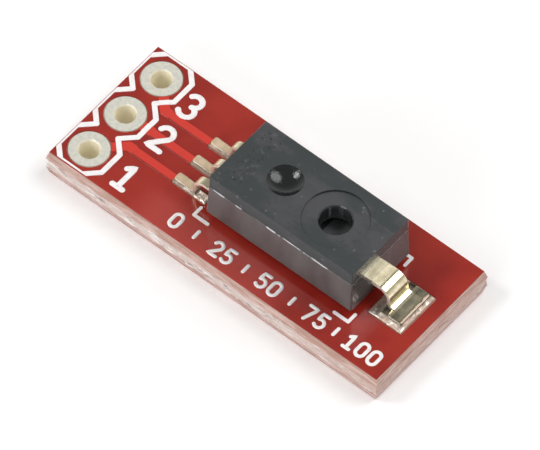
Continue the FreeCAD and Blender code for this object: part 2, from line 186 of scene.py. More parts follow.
class Recipe(Nodes):
    """A material in the making."""

    def __init__(self, name: str, **surface: float) -> None:
        """Start a material with one surface shader.

        Args:
            name: The material's name.
            surface: Plain values for the shader's sockets, such as Roughness.
        """
        self.material = bpy.data.materials.new(name)
        self.material.use_nodes = True
        super().__init__(self.material.node_tree)
        self.surface = self.tree.nodes["Principled BSDF"]
        for socket, value in surface.items():
            self.surface.inputs[socket.replace("_", " ")].default_value = value

    def place(self, stretch: Triple = EVEN, centre: Triple = (0.0, 0.0, 0.0)) -> Wire:
        """Object coordinates in millimetres.

        Args:
            stretch: How many pattern units each millimetre counts for, per axis.
            centre: The point that becomes the pattern's middle.

        Returns:
            The coordinates as a vector.
        """
        coordinates = self.node("ShaderNodeTexCoord", output="Object")
        scale = tuple(factor / MM for factor in stretch)
        shift = tuple(-middle * factor for middle, factor in zip(centre, stretch))
        sockets = {"Vector": coordinates, "Scale": scale, "Location": shift}
        return self.node("ShaderNodeMapping", {}, sockets)

    def axis(self, which: Axis, vector: Wire | None = None) -> Wire:
        """One coordinate of a vector, or of the place in millimetres."""
        source = vector or self.place()
        return self.node("ShaderNodeSeparateXYZ", {}, {"Vector": source}, which.value)

    def away_from(self, x: float, y: float) -> Wire:
        """The distance from an upright axis.

        Args:
            x: Where the axis stands.
            y: Where the axis stands.

        Returns:
            The distance in millimetres.
        """
        place = self.place(centre=(x, y, 0.0))
        across, along = (self.axis(which, place) for which in (Axis.X, Axis.Y))
        return (across * across + along * along).root()

    def grain(self, size: float, detail: float = 3.0, stretch: Triple = EVEN,
              roughness: float = 0.55) -> Wire:
        """Cloudy noise, about a half, whose largest features have a size."""
        sockets = {"Vector": self.place(stretch), "Scale": 1.0 / size, "Detail": detail,
                   "Roughness": roughness}
        return self.node("ShaderNodeTexNoise", {}, sockets)

    def specks(self, size: float, radius: float) -> Wire:
        """One in scattered spots, whose radius is a share of their distance."""
        sockets = {"Vector": self.place(), "Scale": 1.0 / size}
        return 1.0 - self.node("ShaderNodeTexVoronoi", {}, sockets, "Distance") \
            .between(0.5 * radius, radius)

    def hairs(self, size: float, width: float, stretch: Triple) -> Wire:
        """One on long thin lines, such as scratches: a cloud's level lines."""
        level = self.grain(size, 0.0, stretch) - 0.5
        return 1.0 - abs(level).between(0.4 * width, width)

    def share(self, name: str) -> Wire:
        """A share that the mesh keeps on its corners."""
        settings = {"attribute_name": name}
        return self.node("ShaderNodeAttribute", settings, output="Fac")

    def blend(self, share: Wire, first: Wire | Colour, second: Wire | Colour) -> Wire:
        """Mix two colours, so that a share of one gives the second."""
        sockets = {"Factor_Float": share, "A_Color": first, "B_Color": second}
        return self.node("ShaderNodeMix", {"data_type": "RGBA"}, sockets, 2)

    def bump(self, height: Wire, depth: float) -> Wire:
        """The normal of a relief that is so many millimetres deep."""
        sockets = {"Height": height, "Distance": depth * MM}
        return self.node("ShaderNodeBump", {}, sockets)

    def finish(self, **sockets: Wire | Colour | float) -> Material:
        """Feed the surface shader.

        Args:
            sockets: Values or links by socket name, with _ for a space.

        Returns:
            The finished material.
        """
        for name, value in sockets.items():
            self.feed(self.surface.inputs[name.replace("_", " ")], value)
        return self.material


# Finishes


@dataclass(frozen=True)
class Lacquer:
    """Glossy solder mask, brighter where foil lies under it."""

    bare: Colour = (0.38, 0.030, 0.018)
    deep: Colour = (0.30, 0.020, 0.013)
    over_foil: Colour = (0.66, 0.050, 0.034)
    # Painted light: a paler red laid on the mask in front of the body.
    painted_light_red: Colour = (0.455, 0.056, 0.043)
    dusty: Colour = (0.8, 0.5, 0.45)
    foil_z: Span = (1.612, 1.618)
    foil_half: float = 0.19
    foil_pitch: float = 1.27
    foil_edge: float = 0.02
    header_x: Span = (-6.7, -6.6)
    painted_light_x: Span = (-4.5, 3.5)
    painted_light_y: Span = (-2.7, -1.75)
    painted_light_soft: float = 2.0
    dim_x: Span = (3.5, 9.0)
    roughness: float = 0.17

    def make(self, name: str) -> Material:
        """Build the material.

        Args:
            name: Its name.

        Returns:
            The material.
        """
        recipe = Recipe(name, Coat_Roughness=0.06, IOR=1.5)
        x, y, z = (recipe.axis(which) for which in Axis)
        inner, outer = (self.foil_pitch + sign * self.foil_half for sign in (-1, 1))
        lane = (1.0 - abs(y).between(self.foil_half, self.foil_half + self.foil_edge)) \
            .joined(abs(y).within(inner, outer, self.foil_edge))
        lane = lane.joined(1.0 - x.between(*self.header_x)) * z.between(*self.foil_z)
        cloud = recipe.grain(2.4, 2.0)
        board = recipe.blend(cloud.between(0.3, 0.7), self.bare, self.deep)
        red = recipe.blend(lane, board, self.over_foil)
        # Painted light: a paler red near the front edge and beside the body lifts the
        # shade that falls there.
        painted_light = (1.0 - y.between(*self.painted_light_y)) * x.within(*self.painted_light_x, self.painted_light_soft)
        red = recipe.blend(painted_light * (1.0 - lane), red, self.painted_light_red)
        dust = recipe.specks(0.9, 0.05) * recipe.grain(1.5, 2.0).between(0.5, 0.6)
        weave = recipe.grain(0.05, 2.0).between(0.45, 0.75)
        return recipe.finish(
            Base_Color=recipe.blend(dust * 0.5, red, self.dusty),
            Roughness=self.roughness + 0.12 * weave,
            Coat_Weight=(0.4 + 0.3 * cloud) * (1.0 - 0.6 * x.between(*self.dim_x)),
            Normal=recipe.bump(recipe.grain(0.22, 3.0), 0.006))


@dataclass(frozen=True)
class PrintedInk:
    """White marking ink with a faint tooth."""

    colour: Colour = (0.95, 0.93, 0.92)
    thin: Colour = (0.87, 0.82, 0.81)

    def make(self, name: str) -> Material:
        """Build the material.

        Args:
            name: Its name.

        Returns:
            The material.
        """
        recipe = Recipe(name)
        cloud = recipe.grain(0.3, 3.0)
        return recipe.finish(
            Base_Color=recipe.blend(cloud.between(0.4, 0.75), self.colour, self.thin),
            Roughness=0.5 + 0.1 * cloud,
            Normal=recipe.bump(recipe.grain(0.06, 2.0), 0.004))


@dataclass(frozen=True)
class Plating:
    """Tinned land and plated barrel; down in the hole the plating is warmer, and paler
    and less metallic as painted light.
    """

    land: Colour = (0.86, 0.83, 0.72)
    dull: Colour = (0.72, 0.72, 0.64)
    # Partly painted light: the plating's warm tone, made near white for the light seen
    # down the hole.
    barrel: Colour = (1.0, 0.94, 0.76)
    hole_z: Span = (0.06, 1.56)

    def make(self, name: str) -> Material:
        """Build the material.

        Args:
            name: Its name.

        Returns:
            The material.
        """
        recipe = Recipe(name)
        inside = recipe.axis(Axis.Z).within(*self.hole_z, 0.02)
        mottle = recipe.grain(0.2, 4.0)
        skin = recipe.blend(mottle.between(0.38, 0.66), self.land, self.dull)
        return recipe.finish(
            # Painted light: inside the hole the plating's warm colour is near white and
            # mostly diffuse, for the light seen down the hole.
            Base_Color=recipe.blend(inside, skin, self.barrel),
            Metallic=0.55 - 0.45 * inside,
            Roughness=0.42 + 0.2 * mottle,
            Normal=recipe.bump(mottle, 0.015))


@dataclass(frozen=True)
class GlassLaminate:
    """Cut edges of woven glass laminate: pale broken web, tan scored slopes."""

    slope: Colour = (0.42, 0.24, 0.19)
    slope_pale: Colour = (0.62, 0.44, 0.39)
    web: Colour = (0.62, 0.51, 0.47)
    glint: Colour = (0.84, 0.78, 0.75)
    shade: Colour = (0.36, 0.27, 0.25)
    web_z: Span = (0.5, 1.1)
    web_soft: float = 0.16
    shaded_end_x: Span = (9.2, 9.5)
    pink_x: Span = (2.0, 9.6)

    def make(self, name: str) -> Material:
        """Build the material.

        Args:
            name: Its name.

        Returns:
            The material.
        """
        recipe = Recipe(name)
        x, level = recipe.axis(Axis.X), recipe.axis(Axis.Z)
        ragged = recipe.grain(0.6, 4.0, (1.0, 1.0, 2.0), 0.7) * 0.5 - 0.25
        broken = (level + ragged).within(*self.web_z, self.web_soft)
        strands = recipe.grain(1.0, 4.0, (0.8, 0.8, 6.0), 0.65)
        fibres = recipe.blend(strands.between(0.48, 0.62), self.web, self.glint)
        # Painted shade: at the lamp-lit end the web is darkened towards the pale slope
        # colour.
        fibres = recipe.blend(x.between(*self.shaded_end_x) * 0.6, fibres, self.slope_pale)
        gaps = recipe.grain(0.9, 4.0, (0.9, 0.9, 5.0), 0.6)
        pale = recipe.blend(gaps.between(0.52, 0.68), fibres, self.shade)
        streaks = recipe.grain(1.4, 5.0, (1.0, 1.0, 8.0), 0.7)
        tan = recipe.blend(streaks.between(0.38, 0.66), self.slope, self.slope_pale)
        pink = x.between(*self.pink_x) * 0.9 * streaks.between(0.35, 0.6)
        return recipe.finish(
            Base_Color=recipe.blend(broken * (1.0 - pink), tan, pale),
            Roughness=0.3 + 0.35 * strands,
            Normal=recipe.bump(strands, 0.03))


@dataclass(frozen=True)
class Walls:
    """Where the sensor's upright walls stand, told by the place alone."""

    middle: Point = BODY_MIDDLE
    long_wall: float = 1.99
    end_wall: float = 4.115
    change: float = 0.02

    def along(self, recipe: Recipe) -> Wire:
        """One on the two long walls."""
        away = abs(recipe.axis(Axis.Y) - self.middle[1])
        return away.between(self.long_wall, self.long_wall + self.change)

    def ends(self, recipe: Recipe) -> Wire:
        """One on the two end walls."""
        away = abs(recipe.axis(Axis.X) - self.middle[0])
        return away.between(self.end_wall, self.end_wall + self.change)


@dataclass(frozen=True)
class CoverMoulding:
    """The cover's matte spark-eroded skin, with a polished dish and window."""

    colour: Colour = (0.036, 0.043, 0.043)
    bluish: Colour = (0.063, 0.063, 0.067)
    # Painted shade: the walls' darker, bluer copy of the cover colour.
    side: Colour = (0.034, 0.042, 0.045)
    # Painted shade: a darker copy of the cover colour, laid down the window's bore.
    bore: Colour = (0.028, 0.032, 0.033)
    pale: Colour = (0.17, 0.175, 0.18)
    dark: Colour = (0.012, 0.014, 0.014)
    # Painted shade: this darker colour lies in the dish; the dish's polish is its low
    # roughness.
    polished: Colour = (0.014, 0.015, 0.015)
    roughness: float = 0.44
    dish: Triple = (0.93, 0.15, 0.87)
    window: Triple = (3.99, -0.03, 0.80)
    window_rim: float = 4.745
    ring: Span = (1.52, 1.61)
    ring_far: Span = (0.948, 1.501)
    far_side: Point = (-0.618, 0.786)
    edge: float = 0.02
    worn_x: Span = (-1.45, -0.45)
    worn_y: Span = (-1.45, 1.85)
    worn_soft: float = 0.3

    def make(self, name: str) -> Material:
        """Build the material.

        Args:
            name: Its name.

        Returns:
            The material.
        """
        recipe = Recipe(name, IOR=1.5)
        dish = self._dish(recipe)
        smooth = dish.joined(self._bore(recipe))
        fine = recipe.grain(0.1, 3.0)
        cloud = recipe.grain(1.3, 4.0)
        patches = recipe.grain(1.8, 5.0, (0.6, 1.0, 1.0), 0.65).between(0.42, 0.62)
        flecks = recipe.specks(0.4, 0.2) * recipe.grain(0.5, 3.0).between(0.5, 0.62)
        scratches = recipe.hairs(3.0, 0.004, (0.4, 1.6, 1.0)) \
            * recipe.grain(0.8, 2.0).between(0.5, 0.62)
        band = recipe.axis(Axis.X).within(*self.worn_x, self.worn_soft) \
            * recipe.axis(Axis.Y).within(*self.worn_y, self.worn_soft)
        blotches = recipe.grain(0.28, 4.0, roughness=0.7)
        pitted = band.joined(cloud.between(0.58, 0.7) * 0.5)
        pits = pitted * blotches.between(0.56, 0.64)
        worn = band * (1.0 - blotches.between(0.34, 0.44))
        marks = (flecks * 0.6).joined(scratches * cloud).joined(worn * 0.34)
        ends = Walls().ends(recipe)
        walls = Walls().along(recipe).joined(ends)
        skin = recipe.blend(patches, self.colour, self.bluish)
        # Painted shade: the walls take a darker, bluer copy of the cover's colour, set
        # against the light and red reflection that they catch.
        skin = recipe.blend(walls, skin, self.side)
        skin = recipe.blend(marks * (1.0 - smooth), skin, self.pale)
        shade = (pits * 0.85).joined(self._ring_shade(recipe))
        skin = recipe.blend(shade, skin, self.dark)
        # Painted shade: in the window's bore the colour is a darker copy of the
        # cover's.
        skin = recipe.blend(smooth, skin, self.bore)
        relief = fine * 0.4 + recipe.grain(0.5, 3.0) * 0.6 + worn * 1.2 - pits * 2.0
        relief = relief * (1.0 - smooth) * (1.0 - 0.8 * ends)
        mottle = recipe.grain(0.16, 3.0)
        matte = self.roughness + 0.12 * fine - 0.36 * ends
        # Painted shade: the dish takes a darker colour than the cover, for the shade in
        # the hollow.
        return recipe.finish(
            Base_Color=recipe.blend(dish, skin, self.polished),
            Roughness=matte * (1.0 - smooth) + 0.06 * smooth
            + 0.2 * mottle.between(0.45, 0.65) * dish,
            Normal=recipe.bump(relief + mottle * dish * 0.7, 0.012))

    def _dish(self, recipe: Recipe) -> Wire:
        """One in the blind dish."""
        x, y, radius = self.dish
        return 1.0 - recipe.away_from(x, y).between(radius - self.edge, radius)

    def _bore(self, recipe: Recipe) -> Wire:
        """One in the window's bore."""
        (x, y, radius), rim = self.window, self.window_rim
        return (1.0 - recipe.away_from(x, y).between(radius, radius + self.edge)) \
            * (1.0 - recipe.axis(Axis.Z).between(rim - self.edge, rim))

    def _ring_shade(self, recipe: Recipe) -> Wire:
        """One on the far part of the shallow ring's wall.

        Args:
            recipe: The material in the making.

        Returns:
            The share.
        """
        x, y, _ = self.window
        place = recipe.place(centre=(x, y, 0.0))
        across, along = self.far_side
        far = recipe.axis(Axis.X, place) * across + recipe.axis(Axis.Y, place) * along
        wall = recipe.away_from(x, y).within(*self.ring, self.edge)
        return wall * far.between(*self.ring_far)


@dataclass(frozen=True)
class BaseMoulding:
    """The base's dark skin: dull along the sides, and mirror-like at the ends."""

    colour: Colour = (0.058, 0.053, 0.052)
    pale: Colour = (0.092, 0.085, 0.084)

    def make(self, name: str) -> Material:
        """Build the material.

        Args:
            name: Its name.

        Returns:
            The material.
        """
        recipe = Recipe(name, IOR=1.65)
        cloud = recipe.grain(1.2, 4.0, (1.0, 1.0, 0.35))
        fine = recipe.grain(0.3, 3.0)
        ends = Walls().ends(recipe)
        return recipe.finish(
            Base_Color=recipe.blend(cloud.between(0.36, 0.7), self.colour, self.pale),
            Roughness=0.3 + 0.12 * fine - 0.27 * ends,
            Normal=recipe.bump(fine, 0.006))


@dataclass(frozen=True)
class SeamFlash:
    """The thin bead of flash where the cover closes, its pale colour a painted sheen.
    """

    bright: Colour = (0.66, 0.65, 0.66)
    dark: Colour = (0.05, 0.048, 0.048)

    def make(self, name: str) -> Material:
        """Build the material.

        Args:
            name: Its name.

        Returns:
            The material.
        """
        recipe = Recipe(name)
        broken = recipe.grain(0.7, 3.0, (1.0, 1.0, 0.1)).between(0.5, 0.66)
        # Painted highlight: the pale colour stands for the sheen along the flash,
        # broken into dark stretches.
        return recipe.finish(
            Base_Color=recipe.blend(broken, self.bright, self.dark),
            Roughness=0.3 + 0.2 * broken)


@dataclass(frozen=True)
class LeadMetal:
    """Formed lead metal with a pale gold tint, rolling lines and dull feet; a darker
    foot colour can stand for a painted reflection.
    """

    bright: Colour = (0.92, 0.83, 0.59)
    dull: Colour = (0.66, 0.58, 0.38)
    # Painted highlight: the sheared sides are rough, and their paler colour stands for
    # the light they catch.
    sheared: Colour = (0.95, 0.88, 0.76)
    roughness: float = 0.15
    sheared_roughness: float = 0.55
    foot: Colour = (0.84, 0.65, 0.44)
    foot_dull: Colour = (0.70, 0.54, 0.36)
    foot_roughness: float = 0.4
    foot_metallic: float = 0.4
    foot_from: float = 5.25
    foot_soft: float = 0.15
    foot_z: Span = (1.85, 2.0)
    middle: float = 2.2
    toe: float = 90.0
    toe_shadow_line: Span = (-0.09, -0.01)
    toe_shadow_colour: Colour = (0.13, 0.115, 0.075)
    wetted: Colour = (0.46, 0.36, 0.28)

    def make(self, name: str) -> Material:
        """Build the material.

        Args:
            name: Its name.

        Returns:
            The material.
        """
        recipe = Recipe(name)
        x, z = recipe.axis(Axis.X), recipe.axis(Axis.Z)
        away = abs(x - self.middle)
        soldered = away.between(self.foot_from, self.foot_from + self.foot_soft) \
            * (1.0 - z.between(*self.foot_z))
        cloud = recipe.grain(0.45, 4.0)
        skin = recipe.blend(cloud.between(0.42, 0.72), self.bright, self.dull)
        low = recipe.blend(cloud.between(0.35, 0.6), self.foot, self.foot_dull)
        beyond = x - self.toe + recipe.grain(0.35, 3.0) * 0.3
        # Painted shadow: a dark line along the toe of the foot.
        low = recipe.blend(beyond.within(*self.toe_shadow_line, 0.03), low, self.toe_shadow_colour)
        low = recipe.blend(beyond.between(-0.02, 0.02), low, self.wetted)
        skin = recipe.blend(soldered, skin, low)
        rough = (self.roughness + 0.08 * cloud.between(0.4, 0.7)) * (1.0 - soldered) \
            + self.foot_roughness * soldered
        cut = recipe.share(SHEARED)
        rolled = recipe.grain(0.3, 3.0, (1.0, 4.0, 1.0))
        return recipe.finish(
            # Painted highlight on the rough sheared sides: a paler colour.
            Base_Color=recipe.blend(cut, skin, self.sheared),
            Metallic=1.0 - (1.0 - self.foot_metallic) * soldered,
            Roughness=rough * (1.0 - cut) + self.sheared_roughness * cut,
            Normal=recipe.bump(rolled * 0.5 + cloud * 0.5, 0.006))


@dataclass(frozen=True)
class SolderSkin:
    """Frozen solder: bright, with tan patches, and darker beside the foot, partly dark
    flux and partly painted shade.
    """

    bright: Colour = (0.90, 0.80, 0.70)
    tan: Colour = (0.56, 0.42, 0.33)
    # Partly painted shade: the colour beside the foot stands for flux and for the shade
    # there.
    flux: Colour = (0.20, 0.175, 0.12)

    def make(self, name: str) -> Material:
        """Build the material.

        Args:
            name: Its name.

        Returns:
            The material.
        """
        recipe = Recipe(name)
        patches = recipe.grain(0.5, 4.0)
        fine = recipe.grain(0.12, 3.0)
        dull = patches.between(0.42, 0.56)
        metal = recipe.blend(dull.joined(fine.between(0.5, 0.7)), self.bright, self.tan)
        # Painted shade, with flux: the solder darkens close to the foot.
        flux_and_shade = recipe.share(FLUX_AND_SHADE) * recipe.grain(0.45, 2.0).between(0.4, 0.5)
        return recipe.finish(
            Base_Color=recipe.blend(flux_and_shade, metal, self.flux),
            Metallic=0.85 - 0.45 * dull - 0.4 * flux_and_shade,
            Roughness=0.25 + 0.3 * patches,
            Normal=recipe.bump(fine, 0.012))


@dataclass(frozen=True)
class PlainSkin:
    """A quiet finish for pieces that hardly show, with a little unevenness."""

    colour: Colour
    metallic: float
    roughness: float = 0.4

    def make(self, name: str) -> Material:
        """Build the material.

        Args:
            name: Its name.

        Returns:
            The material.
        """
        recipe = Recipe(name, Metallic=self.metallic)
        cloud = recipe.grain(0.3, 3.0)
        darker = tuple(0.85 * part for part in self.colour)
        return recipe.finish(
            Base_Color=recipe.blend(cloud, self.colour, darker),
            Roughness=self.roughness + 0.1 * cloud,
            Normal=recipe.bump(cloud, 0.004))


def dress(material: Material, *nodes: str) -> None:
    """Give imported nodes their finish.

    Args:
        material: The finish.
        nodes: The nodes' names.
    """
    for node in nodes:
        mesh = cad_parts[node].data
        mesh.materials.clear()
        mesh.materials.append(material)


# Pieces


class Workpiece:
    """A mesh in the making, in millimetres."""

    def __init__(self, node: str | None = None) -> None:
        """Start with nothing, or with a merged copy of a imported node.

        Args:
            node: The node to copy.
        """
        self.bm = bmesh.new()
        if node is not None:
            self.bm.from_mesh(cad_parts[node].data)
            bmesh.ops.scale(self.bm, vec=(1 / MM,) * 3, verts=self.bm.verts)
            bmesh.ops.remove_doubles(self.bm, verts=self.bm.verts, dist=MERGED)
            bmesh.ops.dissolve_limit(
                self.bm, angle_limit=FLAT, verts=self.bm.verts, edges=self.bm.edges)

    def slice(self, faces: Sequence[Face], axis: Axis, places: Sequence[float]
              ) -> list[Face]:
        """Cut faces along planes across an axis.

        Args:
            faces: What is cut.
            axis: The planes' normal.
            places: Where the planes stand on it.

        Returns:
            The faces that these have become.
        """
        normal = Vector(tuple(float(i == axis.value) for i in range(3)))
        edges = {edge: None for face in faces for edge in face.edges}
        corners = {vert: None for face in faces for vert in face.verts}
        geometry = [*faces, *edges, *corners]
        for place in places:
            cut = bmesh.ops.bisect_plane(
                self.bm, geom=geometry, dist=1e-5, plane_co=normal * place,
                plane_no=normal)
            geometry = cut["geom"]
        return [item for item in geometry if isinstance(item, Face)]

    def soften(self, width: float, segments: int, sharper_than: float = 50.0) -> None:
        """Round every sharp edge.

        Args:
            width: How far the rounding reaches.
            segments: How many faces it has across.
            sharper_than: The least angle between faces that is rounded, in degrees.
        """
        limit = math.radians(sharper_than)
        sharp = [edge for edge in self.bm.edges
                 if len(edge.link_faces) == 2 and edge.calc_face_angle(0.0) > limit]
        bmesh.ops.bevel(
            self.bm, geom=sharp, offset=width, offset_type="OFFSET", segments=segments,
            profile=0.5, affect="EDGES", material=-1, clamp_overlap=False)

    def sweep(self, points: Sequence[Vector], radii: Sequence[float],
              closed: bool = False) -> list[bmesh.types.BMVert]:
        """Add a round bead along a line.

        Args:
            points: The line's points.
            radii: The bead's radius at each of them.
            closed: Whether the last point joins the first.

        Returns:
            The bead's corners.
        """
        curve = bpy.data.curves.new("bead", "CURVE")
        curve.dimensions = "3D"
        curve.bevel_depth = 1.0
        curve.bevel_resolution = 3
        curve.use_fill_caps = not closed
        spline = curve.splines.new("POLY")
        spline.points.add(len(points) - 1)
        spline.use_cyclic_u = closed
        for target, place, radius in zip(spline.points, points, radii):
            target.co = (*place, 1.0)
            target.radius = radius
        holder = bpy.data.objects.new("bead", curve)
        mesh = bpy.data.meshes.new_from_object(holder)
        known = set(self.bm.verts)
        self.bm.from_mesh(mesh)
        bpy.data.meshes.remove(mesh)
        bpy.data.objects.remove(holder)
        bpy.data.curves.remove(curve)
        return [vert for vert in self.bm.verts if vert not in known]

    def finish(self, name: str, material: Material, slot: str,
               replaces: Sequence[str] = (), smooth_below: float = 180.0) -> None:
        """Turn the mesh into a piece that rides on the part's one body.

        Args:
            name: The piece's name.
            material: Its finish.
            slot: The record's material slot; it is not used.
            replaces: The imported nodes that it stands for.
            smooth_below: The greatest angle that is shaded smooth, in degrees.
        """
        bmesh.ops.scale(self.bm, vec=(MM,) * 3, verts=self.bm.verts)
        limit = math.radians(smooth_below)
        for face in self.bm.faces:
            face.smooth = True
        for edge in self.bm.edges:
            edge.smooth = len(edge.link_faces) != 2 or edge.calc_face_angle(0.0) < limit
        mesh = bpy.data.meshes.new(name)
        self.bm.to_mesh(mesh)
        self.bm.free()
        mesh.materials.append(material)
        piece = bpy.data.objects.new(name, mesh)
        bpy.context.scene.collection.objects.link(piece)
        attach(piece, "root")
        if replaces:
            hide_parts(*replaces)
        LOG.info("%s: %d faces", name, len(mesh.polygons))


def spaced(start: float, end: float, step: float) -> list[float]:
    """Even places strictly between two others, no further apart than a step."""
    count = math.ceil((end - start) / step)
    return [start + (end - start) * i / count for i in range(1, count)]


@dataclass
class Relief:
    """The top coating's surface, which marks are laid on."""

    node: str = "solder_mask_top"
    bare: float = 1.6
    above: float = 3.0
    tree: BVHTree = field(init=False)

    def __post_init__(self) -> None:
        """Read the coating's mesh, in millimetres."""
        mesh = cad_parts[self.node].data
        points = [vertex.co / MM for vertex in mesh.vertices]
        faces = [tuple(polygon.vertices) for polygon in mesh.polygons]
        self.tree = BVHTree.FromPolygons(points, faces)

    def height(self, x: float, y: float) -> float:
        """How high the coating is, or the bare board where there is none."""
        hit = self.tree.ray_cast(Vector((x, y, self.above)), Vector((0, 0, -1)))[0]
        return self.bare if hit is None else max(hit.z, self.bare)


@dataclass(frozen=True)
class Arc:
    """Part of an ellipse in a numeral, in units of the numeral's height."""

    x: float
    y: float
    rx: float
    ry: float
    start: float
    end: float
    steps: int = 9

    def points(self) -> list[Point]:
        """Points along the arc, from its start to its end."""
        angles = [math.radians(self.start + (self.end - self.start) * i / self.steps)
                  for i in range(self.steps + 1)]
        return [(self.x + self.rx * math.cos(a), self.y + self.ry * math.sin(a))
                for a in angles]


NUMERALS: dict[str, list[list[Arc | Point]]] = {
    "0": [[Arc(0.28, 0.72, 0.28, 0.28, 0, 180), Arc(0.28, 0.28, 0.28, 0.28, 180, 360),
           (0.56, 0.72)]],
    "1": [[(0.08, 0.8), (0.3, 1.0), (0.3, 0.0)], [(0.08, 0.0), (0.52, 0.0)]],
    "2": [[Arc(0.28, 0.72, 0.28, 0.28, 165, -35), (0.0, 0.0), (0.58, 0.0)]],
    "3": [[Arc(0.26, 0.75, 0.27, 0.25, 150, -80)],
          [Arc(0.26, 0.27, 0.3, 0.27, 60, -150)]],
    "5": [[(0.52, 1.0), (0.08, 1.0), (0.04, 0.55),
           Arc(0.26, 0.31, 0.3, 0.31, 125, -140)]],
    "7": [[(0.0, 1.0), (0.56, 1.0), (0.2, 0.0)]],
}


@dataclass
class PrintedMarks:
    """The ink on the board: pin numbers, and a plain scale along one edge."""

    relief: Relief
    thickness: float = 0.035
    digit_gap: float = 0.34
    digit_width: float = 0.56
    step: float = 0.12
    pins: dict[str, Point] = field(default_factory=lambda: {
        "1": (-6.35, -3.3), "2": (-6.5, -0.62), "3": (-6.6, 1.55)})
    pin_height: float = 1.3
    pin_line: float = 0.29
    scale_numbers: tuple[str, ...] = ("0", "25", "50", "75", "100")
    scale_start: float = -2.75
    scale_pitch: float = 2.7
    scale_base: float = -3.38
    scale_height: float = 0.76
    scale_line: float = 0.18
    tick_height: float = 0.4

    def build(self, material: Material) -> None:
        """Lay every mark on the coating.

        Args:
            material: The ink.
        """
        work = Workpiece()
        for text, (x, y) in self.pins.items():
            self._write(work, text, x, y, self.pin_height, self.pin_line)
        work.finish("pin_numbers", material, "ink")
        work = Workpiece()
        for i, text in enumerate(self.scale_numbers):
            x = self.scale_start + i * self.scale_pitch
            half = self._width(text, self.scale_height) / 2
            self._write(work, text, x - half, self.scale_base, self.scale_height,
                        self.scale_line)
            if i:
                before = self._width(self.scale_numbers[i - 1], self.scale_height) / 2
                middle = (x - half + x - self.scale_pitch + before) / 2
                y = self.scale_base + (self.scale_height - self.tick_height) / 2
                self._stroke(work, [(middle, y), (middle, y + self.tick_height)],
                             self.scale_line)
        work.finish("humidity_scale", material, "ink")

    def _width(self, text: str, height: float) -> float:
        """How wide a number is, between its outer strokes' middles."""
        gaps = self.digit_gap * (len(text) - 1)
        return height * (self.digit_width * len(text) + gaps)

    def _write(self, work: Workpiece, text: str, x: float, y: float, height: float,
               line: float) -> None:
        """Draw a number.

        Args:
            work: The mesh that it goes into.
            text: Its digits.
            x: Where it starts.
            y: Where it stands.
            height: How tall it is.
            line: How wide its strokes are.
        """
        for i, digit in enumerate(text):
            left = x + i * height * (self.digit_width + self.digit_gap)
            for stroke in NUMERALS[digit]:
                points: list[Point] = []
                for item in stroke:
                    points += item.points() if isinstance(item, Arc) else [item]
                self._stroke(
                    work, [(left + a * height, y + b * height) for a, b in points],
                    line)

    def _stroke(self, work: Workpiece, points: Sequence[Point], line: float) -> None:
        """Draw one stroke as a low rounded bead that follows the coating.

        Args:
            work: The mesh that it goes into.
            points: The stroke's middle line.
            line: How wide it is.
        """
        fine = self._even_out(points)
        middle = [Vector((x, y, 0.0)) for x, y in fine]
        corners = work.sweep(middle, [line / 2] * len(fine))
        for x, y in (fine[0], fine[-1]):
            ball = bmesh.ops.create_uvsphere(
                work.bm, u_segments=16, v_segments=8, radius=line / 2,
                matrix=Matrix.Translation((x, y, 0.0)))
            corners += ball["verts"]
        for vert in corners:
            flat = vert.co.z * self.thickness / (line / 2)
            vert.co.z = self.relief.height(vert.co.x, vert.co.y) + flat

    def _even_out(self, points: Sequence[Point]) -> list[Point]:
        """Add points so that none is further than a step from the next.

        Args:
            points: The line's points.

        Returns:
            The finer line.
        """
        fine = [points[0]]
        for (x0, y0), (x1, y1) in zip(points, points[1:]):
            count = math.ceil(math.hypot(x1 - x0, y1 - y0) / self.step)
            fine += [(x0 + (x1 - x0) * i / count, y0 + (y1 - y0) * i / count)
                     for i in range(1, count + 1)]
        return fine


